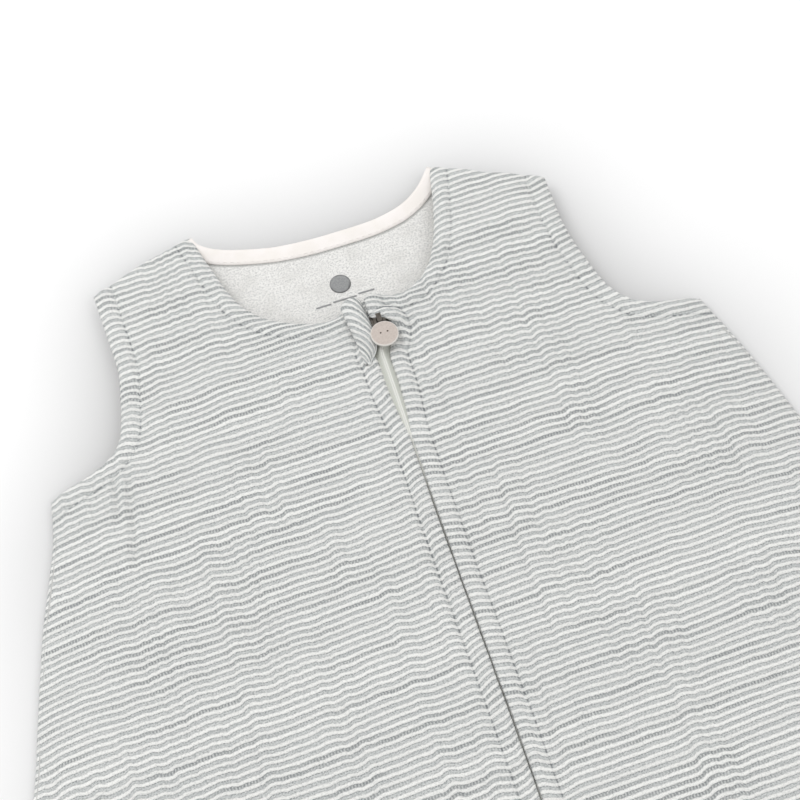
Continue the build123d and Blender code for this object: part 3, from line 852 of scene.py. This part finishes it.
def back_outline(shrink_side, shrink_open):
    """The back's outline, clockwise from the left neck point."""
    left, right = fronts[-1], fronts[1]
    hem = np.array([(HALF - CORNER_R, HEM), (-HALF + CORNER_R, HEM)])
    parts = [
        inset(resample(BACK_NECK, 2.5), shrink_open, -1.0),
        inset(resample(right.shoulder, 4.0), shrink_side, -1.0)[1:-1],
        inset(resample(right.armhole, 2.5), shrink_open + 0.5, -1.0)[1:-1],
        inset(resample(right.edge, 5.0), shrink_side, -1.0)[1:],
        inset(resample(hem, 5.0), shrink_side, -1.0)[1:-1],
        inset(resample(left.edge[::-1], 5.0), shrink_side, -1.0)[:-1],
        inset(resample(left.armhole[::-1], 2.5), shrink_open + 0.5, -1.0)[1:-1],
        inset(resample(left.shoulder[::-1], 4.0), shrink_side, -1.0)[1:-1],
    ]
    return np.vstack(parts)


SHOULDERS = {side: fronts[side].shoulder for side in SIDES}
SIDE_LINES = {side: resample(fronts[side].closed_edge, 6.0) for side in SIDES}
ARM_LINES = {side: resample(fronts[side].armhole, 3.0) for side in SIDES}


def back_shape(p):
    """Height of the back cloth's middle."""
    near = {
        "side": np.minimum(*[distance(p, SIDE_LINES[side])[0] for side in SIDES]),
        "shoulder": np.minimum(*[distance(p, SHOULDERS[side])[0] for side in SIDES]),
        "armhole": np.minimum(*[distance(p, ARM_LINES[side])[0] for side in SIDES]),
        "neck": distance(p, BACK_NECK)[0],
    }
    mid = BACK_T / 2 + 0.05 + 1.2 * np.exp(-near["side"] / 4.0)
    mid += 3.9 * np.exp(-near["shoulder"] / 16.0)
    mid += 1.6 * np.exp(-near["armhole"] / 10.0)
    mid += 2.2 * np.exp(-near["neck"] / 14.0)
    return mid, near


def back_inner_shape(p):
    mid, near = back_shape(p)
    seen = smooth((p[:, 1] - 300) / 30.0) * smooth(near["shoulder"] / 16.0)
    ripple = 0.35 * noise(p[:, 0], p[:, 1], 26, 71) + 0.18 * noise(p[:, 0], p[:, 1], 8, 72, stretch=1.5)
    return mid + BACK_T / 2 + 0.12 + INNER_T / 2 + seen * (ripple + 0.5), near


loop = back_outline(0.5, 0.3)
flat, faces, rim = triangulate(loop, grid_points(np.vstack([loop, loop[:1]]), 4.5))
back = slab("back_cloth", flat, faces, rim, back_shape(flat)[0], np.full(len(flat), BACK_T / 2), STRIPED,
            laid_uv(flat), {"seam": np.full(len(flat), 5.0)})
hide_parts("back_shell")
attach(back, "bag")

SEEN_LOW, SEEN_HALF = 315, 70  # the part of the back's lining that shows inside the neck
loop = back_outline(4.0, 0.9)
closed = np.vstack([loop, loop[:1]])
points = grid_points(closed, 4.5)
points = points[(points[:, 1] < SEEN_LOW) | (np.abs(points[:, 0]) > SEEN_HALF)]
dense = grid_points(closed, 1.8, clear=1.2)
dense = dense[(dense[:, 1] >= SEEN_LOW) & (np.abs(dense[:, 0]) <= SEEN_HALF)]
flat, faces, rim = triangulate(loop, np.vstack([points, dense]))
mid, near = back_inner_shape(flat)
uv = laid_uv(flat, 0.5 * noise(flat[:, 0], flat[:, 1], 12, 73))
NECK_TAPE_W = 7.0
# distance from the neck tape's lower edge, along which the lining paints a thin shadow
seam = np.clip(near["neck"] - NECK_TAPE_W - 0.3, -5, 5)
inner = slab("back_inner", flat, faces, rim, mid, np.full(len(flat), INNER_T / 2), LINING, uv, {"seam": seam})
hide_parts("back_lining")
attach(inner, "bag")


def outward(obj):
    """Turns all faces of a closed mesh outwards."""
    work = bmesh.new()
    work.from_mesh(obj.data)
    bmesh.ops.recalc_face_normals(work, faces=work.faces)
    work.to_mesh(obj.data)
    work.free()


def closed_piece(name, verts, faces, material, uv=None, masks=None):
    obj = make(name, verts, faces, material, uv, masks)
    outward(obj)
    return obj


def tube_faces(rings, section, base=0):
    """The faces of a tube with its two ends, from the number of rings and of corners in a ring."""
    end = base + (rings - 1) * section
    sides = [(i + j, i + (j + 1) % section, i + section + (j + 1) % section, i + section + j)
             for i in range(base, end, section) for j in range(section)]
    return sides + [tuple(reversed(range(base, base + section))), tuple(range(end, end + section))]


def sweep(name, line, flip, profile, height, material):
    """A closed strip along a line. The profile is a closed loop of (sideways, up) places."""
    profile = np.array(profile, float)
    flat = np.stack([inset(line, a, flip) for a, _ in profile], axis=1).reshape(-1, 2)
    up = np.tile(profile[:, 1], len(line))
    z = height(flat) + up
    n, k = len(line), len(profile)
    along = np.repeat(lengths(line), k)
    across = np.tile(profile[:, 0], n)
    uv = np.stack([along, across], axis=1) / STRIPE
    return closed_piece(name, np.column_stack([flat, z]), tube_faces(n, k), material, uv)


def flat_profile(near_edge, far_edge, thick, steps=5, swell=0.0):
    """A flat strip's section with rounded edges."""
    t = np.linspace(0, 1, steps)
    mid = near_edge + (far_edge - near_edge) * t
    rise = thick / 2 + swell * np.sin(np.pi * t)
    r = thick / 2
    top = [(near_edge, 0.0), (near_edge + 0.3 * r, 0.75 * r)]
    top += [(float(a), float(b)) for a, b in zip(mid[1:-1], rise[1:-1])]
    top += [(far_edge - 0.3 * r, 0.75 * r), (far_edge, 0.0)]
    return top + [(far_edge - 0.3 * r, -0.75 * r), ((near_edge + far_edge) / 2, -r),
                  (near_edge + 0.3 * r, -0.75 * r)]


def back_inner_top(p):
    return back_inner_shape(p)[0] + INNER_T / 2


neck_line = resample(BACK_NECK, 1.5)[1:-1]
tape = sweep("neck_tape", neck_line, -1.0, flat_profile(-0.5, NECK_TAPE_W, 0.8, 7, 0.12),
             lambda p: back_inner_top(p) + 0.35 + 0.06 * noise(p[:, 0], p[:, 1], 9, 77), CREAM)
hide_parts("back_neck_tape")
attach(tape, "bag")

# ---- armhole tapes and seam allowances inside ----
ALLOWANCE = flat_profile(1.4, 5.4, 0.8)
for side, word in SIDES.items():
    front = fronts[side]
    turn = -side
    line = resample(front.armhole, 4.0)[2:-3]
    under = sweep(f"{word}_armhole_tape_front", line, turn, flat_profile(2.0, ARM_BAND, 0.7),
                  lambda p: under_front(front, p, 0.3 + INNER_T + 0.45), CREAM)
    over = sweep(f"{word}_armhole_tape_back", line, turn, flat_profile(2.0, ARM_BAND, 0.7),
                 lambda p: back_inner_top(p) + 0.4, CREAM)
    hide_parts(f"{word}_armhole_tape")
    for strip in (under, over):
        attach(strip, "bag")
    for label, line in (("side_seam", resample(front.edge, 6.0)[3:-14]),
                        ("shoulder_seam", resample(front.shoulder, 4.0)[1:-1])):
        strip = sweep(f"{word}_{label}_allowance", line, turn, ALLOWANCE,
                      lambda p: back_inner_top(p) + 0.42, LINING)
        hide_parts(f"{word}_{label}")
        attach(strip, "bag")
straight = resample(np.array([(-HALF + CORNER_R, HEM), (HALF - CORNER_R, HEM)]), 6.0)
hem_line = np.vstack([resample(corner(-1), 5.0), straight[1:-1], resample(corner(1)[::-1], 5.0)])
strip = sweep("hem_allowance", hem_line, 1.0, ALLOWANCE, lambda p: back_inner_top(p) + 0.5, LINING)
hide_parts("hem_seam")
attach(strip, "bag")

# ---- the zip ----
ZIP_BASE = (TAPE_LOW[2] + TAPE_HIGH[2]) / 2
ZIP_LOW_Y = node_box("lower_zip_tapes")[0][1]
ZIP_HIGH_Y = TAPE_HIGH[1]


def zip_height(p):
    """The tapes lie high where their face shows, and tuck under the cloth edges below."""
    shown = smooth((p[:, 1] - ZIP_FACE_LOW + 6) / (ZIP_FACE_TOP - ZIP_FACE_LOW))
    return ZIP_BASE - 2.0 * (1 - shown)


TAPE_SECTION = [(0.05, -0.30), (0.03, 0.60), (0.04, 1.34), (0.30, 1.50), (0.80, 1.42), (1.35, 1.12),
                (1.85, 0.62), (2.35, 0.12), (3.1, -0.25), (5.5, -0.9), (8.8, -1.9), (9.2, -2.1),
                (8.8, -2.4), (5.5, -1.5), (2.6, -0.6)]
TOOTH_PITCH = 1.25
for side, word in SIDES.items():
    y = np.arange(ZIP_LOW_Y, ZIP_HIGH_Y, 3.0)
    line = np.stack([zip_x(y), y], axis=1)
    tape = sweep(f"{word}_zip_face", line, -side, TAPE_SECTION, zip_height, ZIP_TAPE)
    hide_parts(f"{word}_zip_tape", *(["lower_zip_tapes"] if side < 0 else []))
    pieces[f"{word}_zip_face"] = tape
    # coil teeth along the inner edge, one side half a pitch above the other
    verts, faces = [], []
    top_y = SLIDER_HIGH[1] - 4.0
    for k, y0 in enumerate(np.arange(ZIP_LOW_Y + 10 + (side > 0) * TOOTH_PITCH / 2, top_y, TOOTH_PITCH)):
        z0 = float(zip_height(np.array([(ZIP_X, y0)]))[0]) + 0.45
        x0 = float(zip_x(y0))
        for angle in range(6):
            a = math.tau * angle / 6
            verts += [(x0 + side * -0.32, y0 + 0.26 * math.cos(a) * 0.7, z0 + 0.34 * math.sin(a) * 0.7),
                      (x0 + side * 0.1, y0 + 0.30 * math.cos(a), z0 + 0.42 * math.sin(a)),
                      (x0 + side * 1.2, y0 + 0.30 * math.cos(a), z0 + 0.42 * math.sin(a))]
        base = 18 * k
        for j in range(6):
            a, b = base + 3 * j, base + 3 * ((j + 1) % 6)
            faces += [(a, a + 1, b + 1, b), (a + 1, a + 2, b + 2, b + 1)]
        faces += [tuple(base + 3 * j for j in range(6)), tuple(base + 3 * j + 2 for j in reversed(range(6)))]
    teeth = closed_piece(f"{word}_zip_teeth", verts, faces, ZIP_COIL)
    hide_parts(f"{word}_zip_coil", *(["lower_zip_coils"] if side < 0 else []))
    pieces[f"{word}_zip_teeth"] = teeth

# ---- the guard behind the zip and the garage over its top end ----
GUARD_LOW, GUARD_HIGH = node_box("zip_guard")
y = np.arange(GUARD_LOW[1], GUARD_HIGH[1], 4.0)
line = np.stack([np.full(len(y), ZIP_X), y], axis=1)
guard = sweep("guard_strip", line, 1.0, flat_profile(-2.6, 16.2, 0.9, 8),
              lambda p: (GUARD_LOW[2] + 0.4) + 0.25 * noise(p[:, 0], p[:, 1], 14, 81) - 0.9 *
              (1 - smooth((p[:, 1] - ZIP_FACE_LOW + 6) / 33.0)), LINING)
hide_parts("zip_guard")
pieces["guard_strip"] = guard

GARAGE_T = 1.1


def garage():
    """A folded tab of the striped cloth that stands up beside the zip's top end and curls over it."""
    rows, cols = 44, 30
    t = np.linspace(0, 1, rows)
    y_foot = 309.0 + (338.6 - 309.0) * t
    foot_x = -1.4 + 0.5 * np.sin(t * 4) - 2.0 * t
    width = 2.2 + 5.2 * smooth(t / 0.5) ** 0.8 + 1.8 * t
    rise = 1.0 + 4.0 * smooth(t / 0.6) - 2.4 * smooth((t - 0.70) / 0.30)
    s = np.linspace(0, 1, cols)
    grid = np.zeros((rows, cols, 3))
    for i in range(rows):
        arch = np.sin(np.pi * (0.04 + 0.86 * s)) ** 0.85
        x = foot_x[i] + width[i] * (1 - np.cos(np.pi * 0.93 * s)) / (1 - math.cos(np.pi * 0.93))
        z = 14.3 + rise[i] * arch
        lag = -3.4 * s * smooth(t[i] / 0.3) * (1 - 0.75 * smooth((t[i] - 0.7) / 0.3))
        lag = lag + 4.4 * np.sin(np.pi * np.clip(s * 0.75, 0, 1)) * smooth((t[i] - 0.45) / 0.55)
        grid[i] = np.stack([x, y_foot[i] + lag, z], axis=1)
    x, y = grid[..., 0], grid[..., 1]
    grid[..., 2] += 0.22 * noise(x, y, 3.2, 91) + 0.25 * noise(x, y, 7.0, 92)
    grid[..., 0] += 0.25 * noise(y, x, 5.0, 93) * s[None, :]
    du, dv = np.gradient(grid, axis=0), np.gradient(grid, axis=1)
    normal = np.cross(dv, du)
    normal = unit(normal)
    edge = np.minimum(np.minimum(s, 1 - s)[None, :] * cols / 2, np.minimum(t, 1 - t)[:, None] * rows / 2)
    half = GARAGE_T / 2 * np.sqrt(np.clip(1 - (1 - np.clip(edge, 0.12, 1)) ** 2, 0, 1))
    top, low = grid + normal * half[..., None], grid - normal * half[..., None]
    verts = np.vstack([top.reshape(-1, 3), low.reshape(-1, 3)])
    n = rows * cols
    faces = []
    for i in range(rows - 1):
        for j in range(cols - 1):
            a = i * cols + j
            faces.append((a, a + 1, a + cols + 1, a + cols))
            faces.append((n + a, n + a + cols, n + a + cols + 1, n + a + 1))
    ring = [j for j in range(cols)] + [i * cols + cols - 1 for i in range(1, rows)]
    ring += [(rows - 1) * cols + j for j in range(cols - 2, -1, -1)]
    ring += [i * cols for i in range(rows - 2, 0, -1)]
    for a, b in zip(ring, ring[1:] + ring[:1]):
        faces.append((a, n + a, n + b, b))
    across = np.tile(s * 14.0, (rows, 1)).ravel()
    v = (np.repeat(y_foot, cols) + 11.0 * np.tile(s, rows) ** 1.3) / STRIPE
    uv = np.stack([across / STRIPE, v], axis=1)
    uv = np.vstack([uv, uv])
    obj = closed_piece("garage_fold", verts, faces, STRIPED, uv, {"seam": np.full(2 * n, 5.0)})
    # the free edge is rolled, and shows as a white cord
    rim = np.vstack([grid[0, cols // 2:], grid[1:, -1]])[1:-1]
    way = np.gradient(rim, axis=0)
    way = unit(way)
    across = np.cross(way, (0, 0, 1.0))
    across = unit(across)
    up = np.cross(across, way)
    section = 10
    number = np.arange(len(rim))
    size = 0.62 * np.sqrt(np.clip(np.minimum(number + 0.4, len(rim) - 0.6 - number) / 3, 0.1, 1))
    verts = [rim[k] + size[k] * (across[k] * math.cos(a) + up[k] * math.sin(a))
             for k in range(len(rim)) for a in np.linspace(0, math.tau, section, endpoint=False)]
    return obj, closed_piece("garage_edge", verts, tube_faces(len(rim), section), THREAD)


tab, edge_roll = garage()
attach(edge_roll, "garage")
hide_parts("zip_garage")
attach(tab, "garage")

# ---- stitches ----
STITCH, STITCH_GAP = 2.3, 0.8


def stitches(name, line, height):
    """Short thread capsules, end to end along a line."""
    verts, faces = [], []
    along = lengths(line)
    starts = np.arange(0.5, along[-1] - STITCH, STITCH + STITCH_GAP)
    section, reach = 6, 0.24
    for at in starts:
        t = at + STITCH * np.array([0.0, 0.12, 0.5, 0.88, 1.0])
        p = np.stack([np.interp(t, along, line[:, k]) for k in (0, 1)], axis=1)
        z = height(p) + np.array([-0.28, -0.02, 0.07, -0.02, -0.28])
        way = p[-1] - p[0]
        way /= np.linalg.norm(way)
        side_way = np.array([-way[1], way[0]])
        size = np.array([0.35, 0.9, 1.0, 0.9, 0.35]) * reach
        base = len(verts)
        for k in range(5):
            for a in range(section):
                angle = math.tau * a / section
                q = p[k] + side_way * size[k] * math.cos(angle)
                verts.append((q[0], q[1], z[k] + size[k] * math.sin(angle)))
        faces += tube_faces(5, section, base)
    return closed_piece(name, verts, faces, THREAD)


for side, word in SIDES.items():
    front = fronts[side]

    def skin(p):
        mid, half, _ = front.shape(p, front.reaches(p))
        return mid + half
    turn = -side
    beside = inset(resample(front.zip, 2.0), BAND, side)
    beside = beside[(beside[:, 1] > SEWN_SHUT) & (beside[:, 1] < front.zip[-1][1] - BAND)]
    thread = stitches(f"{word}_zip_stitches", beside, skin)
    pieces[f"{word}_zip_stitches"] = thread
    round_neck = inset(resample(front.neck[::-1], 2.0), BAND, turn)[3:-5]
    round_neck = round_neck[(round_neck[:, 0] - ZIP_X) * side > BAND + zip_gap(330.0)]
    round_neck = round_neck[distance(round_neck, front.shoulder)[0] > 1.0]
    thread = stitches(f"{word}_neck_stitches", round_neck, skin)
    pieces[f"{word}_neck_stitches"] = thread
    round_arm = inset(resample(front.armhole, 2.0), ARM_BAND, turn)
    round_arm = round_arm[distance(round_arm, front.shoulder)[0] > 1.5]
    round_arm = round_arm[distance(round_arm, front.edge)[0] > 2.0]
    thread = stitches(f"{word}_arm_stitches", round_arm, skin)
    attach(thread, "bag")
line = inset(neck_line, NECK_TAPE_W - 1.2, -1.0)[4:-4]
thread = stitches("neck_tape_stitches", line, lambda p: back_inner_top(p) + 0.72)
thread.data.materials[0] = CREAM
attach(thread, "bag")

# ---- the printed mark: a plain disc and plain bars, with no lettering ----
PRINT_T = 0.12


def printed(name, outline, inner_step):
    loop = np.array(outline)
    closed = np.vstack([loop, loop[:1]])
    flat, faces, rim = triangulate(loop, grid_points(closed, inner_step, clear=inner_step * 0.4))
    mid = back_inner_top(flat) + PRINT_T / 2 + 0.05
    uv = flat / STRIPE
    obj = slab(name, flat, faces, rim, mid, np.full(len(flat), PRINT_T), PRINT, uv)
    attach(obj, "bag")


PRINT_X, PRINT_Y, PRINT_R = 0.8, 359.4, 4.85
angles = np.linspace(0, math.tau, 48, endpoint=False)
circle = np.stack([PRINT_X + PRINT_R * np.cos(angles), PRINT_Y + PRINT_R * np.sin(angles)], axis=1)
printed("printed_disc", circle, 1.2)
for k, (x0, x1, y0) in enumerate(((-13.0, -6.2, 350.4), (-4.8, 6.0, 351.0), (7.4, 14.6, 351.8))):
    bar = [(x0, y0 - 0.45), (x1, y0 - 0.4), (x1 + 0.3, y0), (x1, y0 + 0.45), (x0, y0 + 0.45), (x0 - 0.3, y0)]
    printed(f"printed_bar_{k + 1}", bar[::-1], 0.8)

# ---- the parts that the CAD gives ----
for node, material in (("zip_slider_body", METAL), ("zip_slider_bridge", METAL), ("zip_pull_link", METAL),
                       ("zip_pull_disc", ENAMEL), ("left_zip_top_stop", METAL), ("right_zip_top_stop", METAL),
                       ("zip_bottom_stop", METAL)):
    for material_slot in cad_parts[node].material_slots:
        material_slot.material = material

# ---- camera, light and floor ----
camera_data = bpy.data.cameras.new("camera")
camera_data.lens = 96.263
camera_data.sensor_width = 36.0
camera = into_scene("camera", camera_data)
camera.location = (-0.0770, -0.1421, 0.8383)
camera.rotation_euler = [math.radians(a) for a in (27.846, 3.040, -16.933)]
bpy.context.scene.camera = camera

world = bpy.data.worlds.new("studio")
world.use_nodes = True
world.node_tree.nodes["Background"].inputs[0].default_value = (1.0, 1.0, 1.0, 1)
world.node_tree.nodes["Background"].inputs[1].default_value = 0.85
bpy.context.scene.world = world
bpy.context.scene.view_settings.view_transform = "Standard"


def area_light(name, place, target, size, power):
    data = bpy.data.lights.new(name, "AREA")
    data.shape = "DISK"
    data.size = size
    data.energy = power
    light = into_scene(name, data)
    light.location = place
    light.rotation_euler = (Vector(target) - Vector(place)).to_track_quat("-Z", "Y").to_euler()


area_light("key", (-0.9, 1.1, 1.5), (0, 0.2, 0), 1.3, 10.0)
area_light("fill", (1.2, -0.6, 1.8), (0, 0.1, 0), 1.4, 4.0)

FLOOR_STEP, FLOOR_REACH, FLOOR_EDGE = 8.0, 640.0, 6000.0
FLOOR_Z = -0.05  # just under the bag, so that the two don't share a face
axis = np.arange(-FLOOR_REACH, FLOOR_REACH + 1, FLOOR_STEP)
stops = np.concatenate([[-FLOOR_EDGE], axis, [FLOOR_EDGE]])
grid_x, grid_y = np.meshgrid(stops, stops)
floor_points = np.stack([grid_x.ravel(), grid_y.ravel()], axis=1)
outline = back_outline(0.0, 0.0)
covered = inside(floor_points, np.vstack([outline, outline[:1]])).astype(float).reshape(grid_x.shape)
SHADOW = 30.0  # how far the soft shadow on the floor spreads
kernel = np.exp(-0.5 * (np.arange(-13, 14) * FLOOR_STEP / SHADOW) ** 2)
kernel /= kernel.sum()
for spread_axis in (0, 1):
    covered = np.apply_along_axis(lambda row: np.convolve(row, kernel, "same"), spread_axis, covered)
shade = covered.ravel() * (0.5 + 0.5 * smooth((floor_points[:, 1] - 190.0) / 130.0))
n = len(stops)
quads = [(a * n + b, a * n + b + 1, (a + 1) * n + b + 1, (a + 1) * n + b)
         for a in range(n - 1) for b in range(n - 1)]
floor = make("floor", np.column_stack([floor_points, np.full(len(floor_points), FLOOR_Z)]), quads,
             floor_material(), masks={"shade": shade})

for name, piece in pieces.items():
    flap_blend(piece, -1 if name.startswith(("left", "guard")) else 1)
